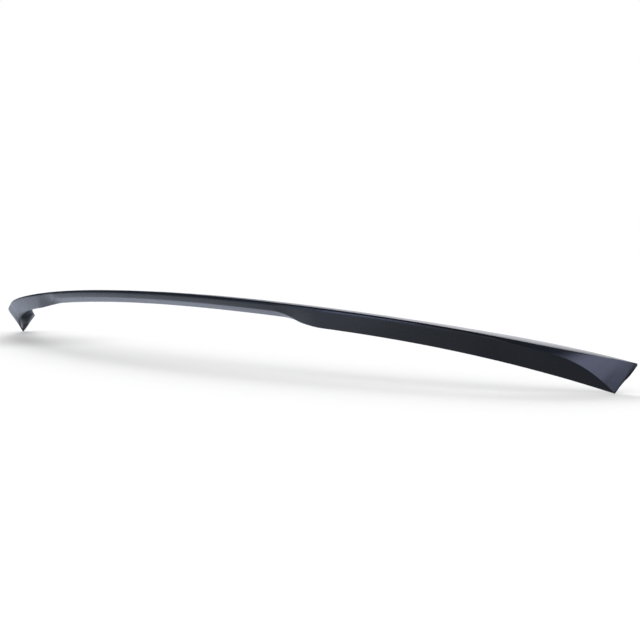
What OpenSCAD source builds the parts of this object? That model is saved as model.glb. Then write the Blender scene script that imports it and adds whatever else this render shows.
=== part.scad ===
// Lip spoiler for the trailing edge of a boot lid, one plastic moulding.
// Millimetres. X runs across the car, Y forward, Z up; the part is the same left and right.
// The origin is the middle of the bonded land on the underside.

/* [Width] */
// half the width over the two end corners
half_width = 581.4; // [540:0.2:620]
// how much closer to the middle the bottom tips stand than the end corners
tip_inset = 6.4; // [2:0.2:12]

/* [Bow of the trailing edge] */
// how far the middle of the trailing edge lies behind the bottom tips
sweep = 138.6; // [110:0.2:190]
// height of the middle of the trailing edge above the bottom tips
rise = 81; // [70:0.2:110]
// share of the sweep that is one even curve, the rest is in the bent ends
sweep_even = 0.61; // [0.5:0.01:0.8]
// share of the rise that is one even curve
rise_even = 0.735; // [0.6:0.005:0.85]
// how sharply the trailing edge turns forward at its ends
end_turn = 13; // [10:0.5:24]
// how sharply the trailing edge drops at its ends
end_drop = 9.1; // [6:0.5:14]

/* [End corner] */
// how far the end corner lies in front of the bottom tip
corner_forward = 23.8; // [18:0.1:32]
// height of the end corner above the bottom tip
corner_height = 25.6; // [20:0.1:32]
// thickness of the closed end
end_thickness = 2.2; // [1.6:0.1:3]
// place along the half width where the sloped end facet opens
facet_start = 0.84; // [0.8:0.005:0.92]

/* [Section] */
// front-to-back depth of the top surface in the middle
chord = 54; // [44:0.5:64]
// how much lower the front edge is than the trailing edge
front_fall = 4.4; // [3:0.1:7]
// swell of the top surface between its two edges
top_swell = 0.8; // [0.2:0.1:1.6]
// thickness of the front edge
front_edge = 2; // [1.4:0.1:3]
// height of the narrow band at the top of the rear face
band_height = 2.9; // [2:0.1:4.5]
// how far the foot of that band stands out behind the trailing edge
band_out = 0.7; // [0.2:0.1:1.4]

/* [Cut-back in the middle] */
// height of the rear face in the middle
mid_face = 8.6; // [6:0.1:10]
// how far the heel in the middle lies in front of the trailing edge
heel_forward = 11.5; // [7:0.1:14]
// how far the heel in the middle lies below the trailing edge
heel_drop = 15; // [13:0.1:17]
// distance from the middle plane to where the rear face starts to step down
step_start = 239; // [200:1:280]
// length over which the rear face steps down
face_step = 35; // [24:1:48]
// length over which the heel steps down
heel_step = 67; // [40:1:80]

/* [Deep sides] */
// how far the lower rear edge, carried on to the middle, lies behind the tips
side_sweep = 146.4; // [136:0.2:150]
// height of the lower rear edge, carried on to the middle, above the tips
side_rise = 59.2; // [54:0.2:63]
// width of the soft lower edge of the sides
lower_edge = 2.5; // [1.5:0.1:4.5]
// how deep the hollow under each end goes, as a share of the room above it
end_hollow = 0.9; // [0.2:0.05:1]
// thickness of the skin round that hollow
skin = 3.2; // [2.4:0.1:5]

/* [Hidden] */
body_color = [0.03, 0.03, 0.035];

// An edge line runs from its middle value to its end value, partly as one even curve
// and partly as a bend that is gathered near the end.
function run(t, even, turn) = even * t * t + (1 - even) * pow(t, turn);
function line(t, middle, end, even, turn) = middle + (end - middle) * run(t, even, turn);
function ease(t) = let (c = min(max(t, 0), 1)) c * c * (3 - 2 * c);
function mix2(a, b, t) = a + (b - a) * t;

// Offsets that hold the closed end at its thickness.
end_up = end_thickness / 2 * [-0.71, 0.7];

// The edges of one section as [y, z], for t from 0 at the middle to 1 at the end.
function trailing(t) = [
    line(t, -sweep, corner_forward + end_up[0], sweep_even, end_turn),
    line(t, rise, corner_height + end_up[1], rise_even, end_drop)
];
front_turn = 5.8;
front_even = 0.555;
function front(t) = [
    line(t, chord - sweep, corner_forward + 0.4, front_even, front_turn),
    trailing(t)[1] - front_fall * (1 - pow(t, front_turn)) - 0.3 * t
];
function front_under(t) = front(t) + [0.5 * t, -front_edge + 0.2 * t];
side_even_y = 0.832;
side_turn_y = 6.1;
side_even_z = 0.486;
side_turn_z = 4.8;
function side_lower(t) = [
    line(t, -side_sweep, 0, side_even_y, side_turn_y),
    line(t, side_rise, 0, side_even_z, side_turn_z)
];
function step_at(t, length) = ease((t * half_width - step_start) / length);
land_fade = 14;
function heel(t) = mix2(
    trailing(t) + [heel_forward, -heel_drop - t],
    side_lower(t) + [lower_edge * (1 - pow(t, land_fade)) + end_thickness * 0.4, 0],
    step_at(t, heel_step)
);
face_lean = 0.3;
function face_foot(t) = mix2(
    trailing(t) - [face_lean, mid_face],
    heel(t) - [lower_edge * (1 - pow(t, land_fade)) + end_thickness * 0.3, 0],
    step_at(t, face_step)
);
facet_out = 1.2;
facet_down = 5.7;
function facet_run(t) = max(t - facet_start, 0) / (1 - facet_start);
tip_back = [-end_thickness * 0.4, end_thickness * 0.5];
function crease(t) = let (e = facet_run(t), from = [-band_out, -band_height], to = tip_back - trailing(1))
    trailing(t) + [
        mix2(from[0], to[0], pow(e, facet_out)),
        mix2(from[1], to[1], pow(e, facet_down))
    ];

// The hollow opens beyond the step and stops short of the closed end, against a sloping wall.
hollow_start = 0.55;
hollow_grow = 0.2;
end_wall = 6;
wall_slope = 16;
function hollow(t) = end_hollow * ease((t - hollow_start) / hollow_grow)
    * ease(((1 - t) * half_width - end_wall) / wall_slope);

// The underside from the front edge c to the heel d. A hollow is pulled up towards the trailing edge a and the
// crease f, so it keeps a skin behind the rear face and behind the end facet.
corner_round = 4;
function toward(from, to, length) = from + (to - from) * min(length / norm(to - from), 1);
function underside(s, a, c, d, f, depth) = let (
    middle = (c + d) / 2,
    upper = mix2(middle, toward(a, middle, 2 * skin), depth),
    lower = mix2(middle, toward(f, middle, 2 * skin), depth),
    at_c = pow(1 - s, corner_round),
    at_d = pow(s, corner_round)
) at_c * c + at_d * d + (1 - at_c - at_d) * mix2(upper, lower, ease(s));

// The whole section, [lean, y, z] for each point; lean is 0 at the tip's side and 1 at the corner's.
top_parts = 5;
under_parts = 8;
face_parts = 2;
function section(t) = let (
    a = trailing(t), b = front(t), c = front_under(t), d = heel(t), e = face_foot(t), f = crease(t),
    f_lean = 1 - pow(facet_run(t), 2)
) concat(
    [for (i = [0 : top_parts - 1]) let (s = i / top_parts, p = mix2(a, b, s))
        [1, p[0], p[1] + 4 * top_swell * s * (1 - s) * (1 - pow(t, 12))]],
    [[1, b[0], b[1]]],
    [for (i = [0 : under_parts - 1]) let (s = i / under_parts, p = underside(s, a, c, d, f, hollow(t)))
        [1 - s, p[0], p[1]]],
    [[0, d[0], d[1]]],
    [for (i = [0 : face_parts - 1]) let (s = i / face_parts, p = mix2(e, f, s))
        [f_lean * s, p[0], p[1]]],
    [[f_lean, f[0], f[1]]]
);
function place(u) = let (t = abs(u)) [for (p = section(t))
    [u * (half_width - tip_inset * (1 - p[0])), p[1], p[2]]];

// Stations along the half width, closer together at the step and at the bent end.
mid_half = 22;
u_flat = mid_half / half_width;
u_step = (step_start - 4) / half_width;
u_side = (step_start + max(face_step, heel_step) + 4) / half_width;
half_stations = concat(
    [for (i = [0 : 15]) u_flat + (u_step - u_flat) * i / 16],
    [for (i = [0 : 15]) u_step + (u_side - u_step) * i / 16],
    [for (i = [0 : 19]) u_side + (facet_start - u_side) * i / 20],
    [for (i = [0 : 36]) facet_start + (1 - facet_start) * i / 36]
);
half_count = len(half_stations);
stations = concat([for (i = [0 : half_count - 1]) -half_stations[half_count - 1 - i]], half_stations);
rings = [for (u = stations) place(u)];
ring_size = len(rings[0]);
ring_count = len(rings);
points = [for (r = rings) for (p = r) p];
side_faces = [for (i = [0 : ring_count - 2]) for (j = [0 : ring_size - 1])
    let (k = (j + 1) % ring_size, a = i * ring_size, b = a + ring_size, near = stations[i] < 0)
    each near ? [[a + j, b + k, b + j], [a + j, a + k, b + k]]
              : [[a + j, a + k, b + j], [b + j, a + k, b + k]]];
// The closed ends: the top row meets the first point of the underside, and the rest fans from the trailing edge.
under_first = top_parts + 1;
cap = concat(
    [for (i = [0 : top_parts - 1]) [i, i + 1, under_first]],
    [for (i = [under_first : ring_size - 2]) [0, i, i + 1]]
);
first_cap = [for (c = cap) [c[2], c[1], c[0]]];
last_cap = [for (c = cap) c + (ring_count - 1) * ring_size * [1, 1, 1]];

// The middle of the bonded land, which is flat between the two stations beside the middle plane.
land_middle = (heel(u_flat) + front_under(u_flat)) / 2;

module spoiler() {
    color(body_color)
        translate([0, -land_middle[0], -land_middle[1]])
            polyhedron(points = points, faces = concat(side_faces, first_cap, last_cap), convexity = 10);
}

spoiler();
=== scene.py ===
import math

import bpy
import numpy as np
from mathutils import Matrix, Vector


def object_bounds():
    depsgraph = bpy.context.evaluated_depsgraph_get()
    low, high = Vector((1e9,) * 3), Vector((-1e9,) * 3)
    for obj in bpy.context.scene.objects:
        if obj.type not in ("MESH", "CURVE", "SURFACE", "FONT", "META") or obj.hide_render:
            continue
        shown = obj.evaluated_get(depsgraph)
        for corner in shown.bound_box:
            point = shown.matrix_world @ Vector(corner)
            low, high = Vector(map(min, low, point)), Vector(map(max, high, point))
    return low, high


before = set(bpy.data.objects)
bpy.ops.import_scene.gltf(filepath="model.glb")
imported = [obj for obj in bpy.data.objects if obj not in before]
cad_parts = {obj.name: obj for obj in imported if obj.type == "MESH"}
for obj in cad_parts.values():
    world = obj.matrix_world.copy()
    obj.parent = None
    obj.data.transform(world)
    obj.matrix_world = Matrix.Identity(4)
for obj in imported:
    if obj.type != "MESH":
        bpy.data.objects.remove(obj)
cad_low, cad_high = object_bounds()


# ---------------------------------------------------------------------------
# The moulding. One long lip of ABS, injection moulded in one shot and left satin
# black. It is bonded to the boot lid by tape under its flat land, so it has no
# screws, clips or joints.

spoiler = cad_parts["spoiler"]

mm = 0.001
# An edge that bends by more than this is a corner, and the rest is smooth skin.
corner_angle = math.radians(16)
# The tool rounds the outward corners by its radius, or by less where a narrow face has no room
# for that. Beside the narrowest faces they stay crisp.
tool_radius, least_room, share_of_room = 1.3 * mm, 1 * mm, 0.45
# The two tips run out into crisp edges, and the rounding fades in behind them.
crisp_tip, fade_length = 14 * mm, 25 * mm


def mark_corners(mesh):
    """Says for each edge of the imported triangles how far it is rounded, or that it stays crisp.

    Smooth skin gets neither. A triangle has its own copy of each edge, so edges count as one
    where both their ends agree to a micron.
    """
    spots = np.array([v.co for v in mesh.vertices])
    joined = np.unique(np.round(spots, 6), axis=0, return_inverse=True)[1].ravel()
    sides = {}
    for face in mesh.polygons:
        trio = list(face.vertices)
        for one, two in zip(trio, trio[1:] + trio[:1]):
            width = 2 * face.area / np.linalg.norm(spots[one] - spots[two])
            pair = frozenset((joined[one], joined[two]))
            sides.setdefault(pair, []).append((face.normal, width, face.center))
    corners, rounding = set(), {}
    for pair, (first, second) in sides.items():
        if first[0].angle(second[0], 0.0) <= corner_angle:
            continue
        corners.add(pair)
        room = min(first[1], second[1])
        outward = (second[2] - first[2]).dot(first[0]) < 0
        if outward and room > least_room:
            rounding[pair] = min(1.0, share_of_room * room / tool_radius)
    rounded = mesh.attributes.new("bevel_weight_edge", "FLOAT", "EDGE")
    crisp = mesh.attributes.new("sharp_edge", "BOOLEAN", "EDGE")
    for edge in mesh.edges:
        pair = frozenset(int(joined[v]) for v in edge.vertices)
        from_end = cad_high.x - abs(spots[list(edge.vertices), 0]).mean()
        fade = min(1.0, max(0.0, (from_end - crisp_tip) / fade_length))
        weight = fade * rounding.get(pair, 0.0)
        rounded.data[edge.index].value = weight
        crisp.data[edge.index].value = pair in corners and not weight


def finish_skin(piece):
    """Joins the triangles into one skin, rounds its corners, and shades it smooth."""
    mesh = piece.data
    mesh.normals_split_custom_set([(0, 0, 0)] * len(mesh.loops))
    mesh.polygons.foreach_set("use_smooth", [True] * len(mesh.polygons))
    mark_corners(mesh)
    weld = piece.modifiers.new("one skin", "WELD")
    weld.merge_threshold = 0.01 * mm
    bevel = piece.modifiers.new("tool radius", "BEVEL")
    bevel.limit_method = "WEIGHT"
    bevel.width = tool_radius
    bevel.segments = 3
    bevel.use_clamp_overlap = False
    normals = piece.modifiers.new("even shading", "WEIGHTED_NORMAL")
    normals.keep_sharp = True


finish_skin(spoiler)


def linear(hex_colour):
    """An sRGB colour such as "1a1b1d" as the linear values that Blender works in."""
    parts = [int(hex_colour[i:i + 2], 16) / 255 for i in (0, 2, 4)]
    parts = [p / 12.92 if p <= 0.04045 else ((p + 0.055) / 1.055) ** 2.4 for p in parts]
    return (*parts, 1.0)


def add_node(tree, kind, settings=None, links=None, **attributes):
    """A node in the tree. Settings are its sockets' values, links are what feeds its sockets."""
    node = tree.nodes.new(kind)
    for name, value in attributes.items():
        setattr(node, name, value)
    for socket, value in (settings or {}).items():
        node.inputs[socket].default_value = value
    for socket, source in (links or {}).items():
        tree.links.new(source, node.inputs[socket])
    return node


# Injection moulded ABS. The spark-eroded tool leaves a very fine even grain, which turns the
# gloss of the bare plastic into a soft satin: nearly black when seen straight on, and pale where
# a flat view of it mirrors the room. Plastic that ran along the lip leaves long faint streaks in
# the gloss, and it set a little unevenly, in soft patches. The real grain is 0.1 mm, too fine
# for this picture, so it is drawn at 0.9 mm and kept shallow.
grain_size, grain_depth = 0.9 * mm, 0.04 * mm
streak_width, streak_length = 4 * mm, 70 * mm
patch_size = 30 * mm

abs_black = bpy.data.materials.new("satin_black_abs")
abs_black.use_nodes = True
tree = abs_black.node_tree
tree.nodes.clear()
place = add_node(tree, "ShaderNodeTexCoord")
grain = add_node(
    tree, "ShaderNodeTexNoise", {"Scale": 1 / grain_size, "Detail": 2.0, "Roughness": 0.5},
    {"Vector": place.outputs["Object"]},
)
along_lip = add_node(
    tree, "ShaderNodeVectorMath", {1: (streak_width / streak_length, 1.0, 1.0)},
    {0: place.outputs["Object"]}, operation="MULTIPLY",
)
streaks = add_node(
    tree, "ShaderNodeTexNoise", {"Scale": 1 / streak_width, "Detail": 3.0, "Roughness": 0.6},
    {"Vector": along_lip.outputs["Vector"]},
)
patches = add_node(
    tree, "ShaderNodeTexNoise", {"Scale": 1 / patch_size, "Detail": 4.0, "Roughness": 0.55},
    {"Vector": place.outputs["Object"]},
)
flow_marks = add_node(
    tree, "ShaderNodeMath", links={0: streaks.outputs["Fac"], 1: patches.outputs["Fac"]},
    operation="ADD",
)
satin = add_node(
    tree, "ShaderNodeMapRange",
    {"From Min": 0.7, "From Max": 1.3, "To Min": 0.255, "To Max": 0.305},
    {"Value": flow_marks.outputs[0]},
)
black = add_node(
    tree, "ShaderNodeMix", {"A": linear("131518"), "B": linear("181a1d")},
    {"Factor": patches.outputs["Fac"]}, data_type="RGBA",
)
relief = add_node(
    tree, "ShaderNodeBump", {"Strength": 0.1, "Distance": grain_depth},
    {"Height": grain.outputs["Fac"]},
)
plastic = add_node(
    tree, "ShaderNodeBsdfPrincipled", {"IOR": 1.5},
    {
        "Base Color": black.outputs["Result"],
        "Roughness": satin.outputs[0],
        "Normal": relief.outputs[0],
    },
)
add_node(tree, "ShaderNodeOutputMaterial", links={"Surface": plastic.outputs["BSDF"]})
spoiler.data.materials.clear()
spoiler.data.materials.append(abs_black)


# ---------------------------------------------------------------------------
# The table it stands on for its picture: a plain white sweep of matt card, laid
# flat under the two tips, and so wide that its edge is never seen.

floor_height = cad_low.z
half_side = 30.0
mesh = bpy.data.meshes.new("white_sweep")
mesh.from_pydata(
    [
        (-half_side, -half_side, floor_height),
        (half_side, -half_side, floor_height),
        (half_side, half_side, floor_height),
        (-half_side, half_side, floor_height),
    ],
    [], [(0, 1, 2, 3)],
)
sweep = bpy.data.objects.new("white_sweep", mesh)
bpy.context.scene.collection.objects.link(sweep)

# Matt white card: no gloss, so the eye sees only an even white and the lip's soft shadow. To the
# camera it comes out a little lighter, as an over-exposed sweep does. That lift fades out over
# the shadow by the far end, which paints the floor darker there: a painted shadow. The plastic
# mirrors a cooler floor with painted shade and painted light on it. Painted shade dims it by the
# near end and is darkest where the far tip rests on it, and pale rows of painted light, glowing
# from the card itself, lie across it. Places are in metres.
cool_white = linear("e3ecff")
near_end = (0.51, 0.04, floor_height)
far_tip = (-0.57, 0.11, floor_height)
far_shadow = (-0.38, 0.0, floor_height)
across_rows = (1.0, -0.7, 0.0)
# From the far end towards the near one: the place of each painted row of light, and how bright it
# is.
painted_light_rows = (
    (0.04, 0.1404), (0.25, 0.5382), (0.50, 0.3861), (0.70, 0.6084), (0.84, 0.5616), (1.0, 0.0),
)

white_card = bpy.data.materials.new("matt_white_sweep")
white_card.use_nodes = True
tree = white_card.node_tree
tree.nodes.clear()
place = add_node(tree, "ShaderNodeTexCoord")

from_near_end = add_node(
    tree, "ShaderNodeVectorMath", {1: near_end}, {0: place.outputs["Object"]},
    operation="DISTANCE",
)
# Painted shade: the floor that the plastic mirrors is painted darker close to the near end.
painted_near_end_shade = add_node(
    tree, "ShaderNodeMapRange",
    {"From Min": 40 * mm, "From Max": 280 * mm, "To Min": 0.3159, "To Max": 0.7605},
    {"Value": from_near_end.outputs["Value"]},
)
from_far_tip = add_node(
    tree, "ShaderNodeVectorMath", {1: far_tip}, {0: place.outputs["Object"]},
    operation="DISTANCE",
)
# Painted shadow: the mirrored floor is painted darkest round the far tip, and the painted rows of
# light are taken out there too.
painted_tip_shadow = add_node(
    tree, "ShaderNodeMapRange",
    {"From Min": 40 * mm, "From Max": 90 * mm, "To Min": 0.25, "To Max": 1.0},
    {"Value": from_far_tip.outputs["Value"]}, interpolation_type="SMOOTHSTEP",
)
painted_floor_shade = add_node(
    tree, "ShaderNodeMath", links={0: painted_near_end_shade.outputs[0], 1: painted_tip_shadow.outputs[0]},
    operation="MULTIPLY",
)
cool_painted_shade = add_node(
    tree, "ShaderNodeVectorMath", {0: cool_white[:3]}, {"Scale": painted_floor_shade.outputs[0]},
    operation="SCALE",
)
cool_card_with_painted_shade = add_node(
    tree, "ShaderNodeBsdfDiffuse", links={"Color": cool_painted_shade.outputs["Vector"]},
)

# Painted light: pale rows of emission glow across the floor that the plastic mirrors. The card
# itself glows there, not a lamp.
across = add_node(
    tree, "ShaderNodeVectorMath", {1: across_rows}, {0: place.outputs["Object"]},
    operation="DOT_PRODUCT",
)
row_place = add_node(
    tree, "ShaderNodeMapRange", {"From Min": -0.7, "From Max": 0.3},
    {"Value": across.outputs["Value"]},
)
painted_rows = add_node(tree, "ShaderNodeValToRGB", links={"Fac": row_place.outputs[0]})
painted_rows.color_ramp.interpolation = "B_SPLINE"
while len(painted_rows.color_ramp.elements) < len(painted_light_rows):
    painted_rows.color_ramp.elements.new(0.5)
for stop, (position, value) in zip(painted_rows.color_ramp.elements, painted_light_rows):
    stop.position = position
    stop.color = (value, value, value, 1)
painted_rows_clear_of_tip = add_node(
    tree, "ShaderNodeMath", links={0: painted_rows.outputs["Color"], 1: painted_tip_shadow.outputs[0]},
    operation="MULTIPLY",
)
painted_row_glow = add_node(
    tree, "ShaderNodeEmission", {"Color": cool_white},
    {"Strength": painted_rows_clear_of_tip.outputs[0]},
)
painted_mirrored_floor = add_node(
    tree, "ShaderNodeAddShader", links={0: cool_card_with_painted_shade.outputs[0], 1: painted_row_glow.outputs[0]},
)

card = add_node(tree, "ShaderNodeBsdfDiffuse", {"Color": linear("e6e6e6")})
# The camera's lift fades out round the far shadow, so the floor is painted darker there: a
# painted shadow on top of the cast one.
from_shadow = add_node(
    tree, "ShaderNodeVectorMath", {1: far_shadow}, {0: place.outputs["Object"]},
    operation="DISTANCE",
)
lift_and_painted_shadow = add_node(
    tree, "ShaderNodeMapRange",
    {"From Min": 0.0, "From Max": 180 * mm, "To Min": 0.0, "To Max": 0.175},
    {"Value": from_shadow.outputs["Value"]}, interpolation_type="SMOOTHSTEP",
)
lift_glow_and_painted_shadow = add_node(
    tree, "ShaderNodeEmission", {"Color": linear("ffffff")}, {"Strength": lift_and_painted_shadow.outputs[0]},
)
seen = add_node(
    tree, "ShaderNodeAddShader", links={0: card.outputs[0], 1: lift_glow_and_painted_shadow.outputs[0]},
)
ray = add_node(tree, "ShaderNodeLightPath")
seen_or_mirrored = add_node(
    tree, "ShaderNodeMixShader",
    links={0: ray.outputs["Is Camera Ray"], 1: painted_mirrored_floor.outputs[0], 2: seen.outputs[0]},
)
add_node(tree, "ShaderNodeOutputMaterial", links={"Surface": seen_or_mirrored.outputs[0]})
mesh.materials.append(white_card)


# ---------------------------------------------------------------------------
# Studio light: a wide soft sun from beyond the far end makes the shadow. The gloss
# mirrors a tall cool box beside the near end, a narrow one that faces the rear
# face, and a room that is white in front of the lip and dark behind it.

key = bpy.data.lights.new("key_light", "SUN")
key.energy = 2.05
key.angle = math.radians(28)
key_lamp = bpy.data.objects.new("key_light", key)
bpy.context.scene.collection.objects.link(key_lamp)
key_lamp.rotation_mode = "QUATERNION"
key_lamp.rotation_quaternion = Vector((0.807, -0.429, -0.407)).to_track_quat("-Z", "Y")
# The gloss doesn't mirror the sun itself, only what it lights.
key_lamp.visible_glossy = False


def soft_box(name, width, height, at, towards, glow, strength):
    """A panel of glowing cloth, so many metres wide and high, which faces a point.

    It is brightest in its middle. It shows only in the gloss of the plastic: the camera doesn't
    see it, and it neither lights matt surfaces nor throws a shadow.
    """
    mesh = bpy.data.meshes.new(name)
    x, y = width / 2, height / 2
    mesh.from_pydata([(-x, -y, 0), (x, -y, 0), (x, y, 0), (-x, y, 0)], [], [(0, 3, 2, 1)])
    cloth = bpy.data.materials.new(name + "_cloth")
    cloth.use_nodes = True
    tree = cloth.node_tree
    tree.nodes.clear()
    spread = add_node(tree, "ShaderNodeTexCoord")
    off_middle = add_node(
        tree, "ShaderNodeVectorMath", {1: (0.5, 0.5, 0.5)}, {0: spread.outputs["Generated"]},
        operation="DISTANCE",
    )
    power = add_node(
        tree, "ShaderNodeMapRange",
        {"From Min": 0.15, "From Max": 0.6, "To Min": strength, "To Max": 0.45 * strength},
        {"Value": off_middle.outputs["Value"]}, interpolation_type="SMOOTHSTEP",
    )
    front = add_node(
        tree, "ShaderNodeEmission", {"Color": linear(glow)}, {"Strength": power.outputs[0]},
    )
    back = add_node(tree, "ShaderNodeBsdfDiffuse", {"Color": linear("0c0c0c")})
    side = add_node(tree, "ShaderNodeNewGeometry")
    front_or_back = add_node(
        tree, "ShaderNodeMixShader",
        links={0: side.outputs["Backfacing"], 1: front.outputs[0], 2: back.outputs[0]},
    )
    add_node(tree, "ShaderNodeOutputMaterial", links={"Surface": front_or_back.outputs[0]})
    mesh.materials.append(cloth)
    panel = bpy.data.objects.new(name, mesh)
    bpy.context.scene.collection.objects.link(panel)
    panel.location = at
    panel.rotation_mode = "QUATERNION"
    panel.rotation_quaternion = (Vector(towards) - Vector(at)).to_track_quat("-Z", "Y")
    panel.visible_camera = False
    panel.visible_diffuse = False
    panel.visible_shadow = False


soft_box(
    "side_box", 1.3, 2.1, at=(1.67, 0.40, 0.90), towards=(0.58, 0.1, -0.03),
    glow="cfd8ff", strength=4.0,
)
soft_box(
    "front_box", 0.6, 0.24, at=(-0.26, -1.5, 0.26), towards=(0.25, -0.1, 0.0),
    glow="b9ccff", strength=10.0,
)

room = bpy.data.worlds.new("white_room")
bpy.context.scene.world = room
room.use_nodes = True
tree = room.node_tree
tree.nodes.clear()
way = add_node(tree, "ShaderNodeTexCoord")

# In the plastic's gloss: a white wall on one side, dimmer higher up, and dark elsewhere.
white_wall = Vector((-0.35, 0.93, 0.05)).normalized()
facing = add_node(
    tree, "ShaderNodeVectorMath", {1: white_wall}, {0: way.outputs["Generated"]},
    operation="DOT_PRODUCT",
)
wall = add_node(
    tree, "ShaderNodeMapRange",
    {"From Min": 0.74, "From Max": 0.97, "To Min": 0.0, "To Max": 1.0},
    {"Value": facing.outputs["Value"]}, interpolation_type="SMOOTHSTEP",
)
upwards = add_node(tree, "ShaderNodeSeparateXYZ", links={0: way.outputs["Generated"]})
fall_off = add_node(
    tree, "ShaderNodeMapRange",
    {"From Min": 0.25, "From Max": 0.5, "To Min": 1.0, "To Max": 0.45},
    {"Value": upwards.outputs["Z"]}, interpolation_type="SMOOTHSTEP",
)
wall_share = add_node(
    tree, "ShaderNodeMath", links={0: wall.outputs[0], 1: fall_off.outputs[0]},
    operation="MULTIPLY",
)
dark_side = add_node(
    tree, "ShaderNodeBackground", {"Color": linear("4b556c"), "Strength": 1.0},
)
white_side = add_node(
    tree, "ShaderNodeBackground", {"Color": linear("f7f9ff"), "Strength": 1.75},
)
in_gloss = add_node(
    tree, "ShaderNodeMixShader",
    links={0: wall_share.outputs[0], 1: dark_side.outputs[0], 2: white_side.outputs[0]},
)

# On matt surfaces: even light from all sides. To the camera: plain white.
even = add_node(
    tree, "ShaderNodeBackground", {"Color": linear("fefeff"), "Strength": 0.81},
)
backdrop = add_node(
    tree, "ShaderNodeBackground", {"Color": linear("ffffff"), "Strength": 1.0},
)
ray = add_node(tree, "ShaderNodeLightPath")
lit = add_node(
    tree, "ShaderNodeMixShader",
    links={0: ray.outputs["Is Glossy Ray"], 1: even.outputs[0], 2: in_gloss.outputs[0]},
)
lit_or_seen = add_node(
    tree, "ShaderNodeMixShader",
    links={0: ray.outputs["Is Camera Ray"], 1: lit.outputs[0], 2: backdrop.outputs[0]},
)
add_node(tree, "ShaderNodeOutputWorld", links={"Surface": lit_or_seen.outputs[0]})


# ---------------------------------------------------------------------------
# Camera: low, behind the rear face and beside the near end, looking across the
# lip towards its far end with a 70 mm lens.

turn, dip = math.radians(39.904), math.radians(3.073)
look = Vector((
    -math.cos(turn) * math.cos(dip), math.sin(turn) * math.cos(dip), -math.sin(dip),
))
lens = bpy.data.cameras.new("camera")
lens.lens = 70
lens.sensor_width = 36
lens.clip_start, lens.clip_end = 0.05, 100
camera = bpy.data.objects.new("camera", lens)
bpy.context.scene.collection.objects.link(camera)
camera.location = (1.2539, -0.8043, 0.0549)
camera.rotation_mode = "QUATERNION"
camera.rotation_quaternion = look.to_track_quat("-Z", "Y")
bpy.context.scene.camera = camera
bpy.context.scene.view_settings.view_transform = "Standard"
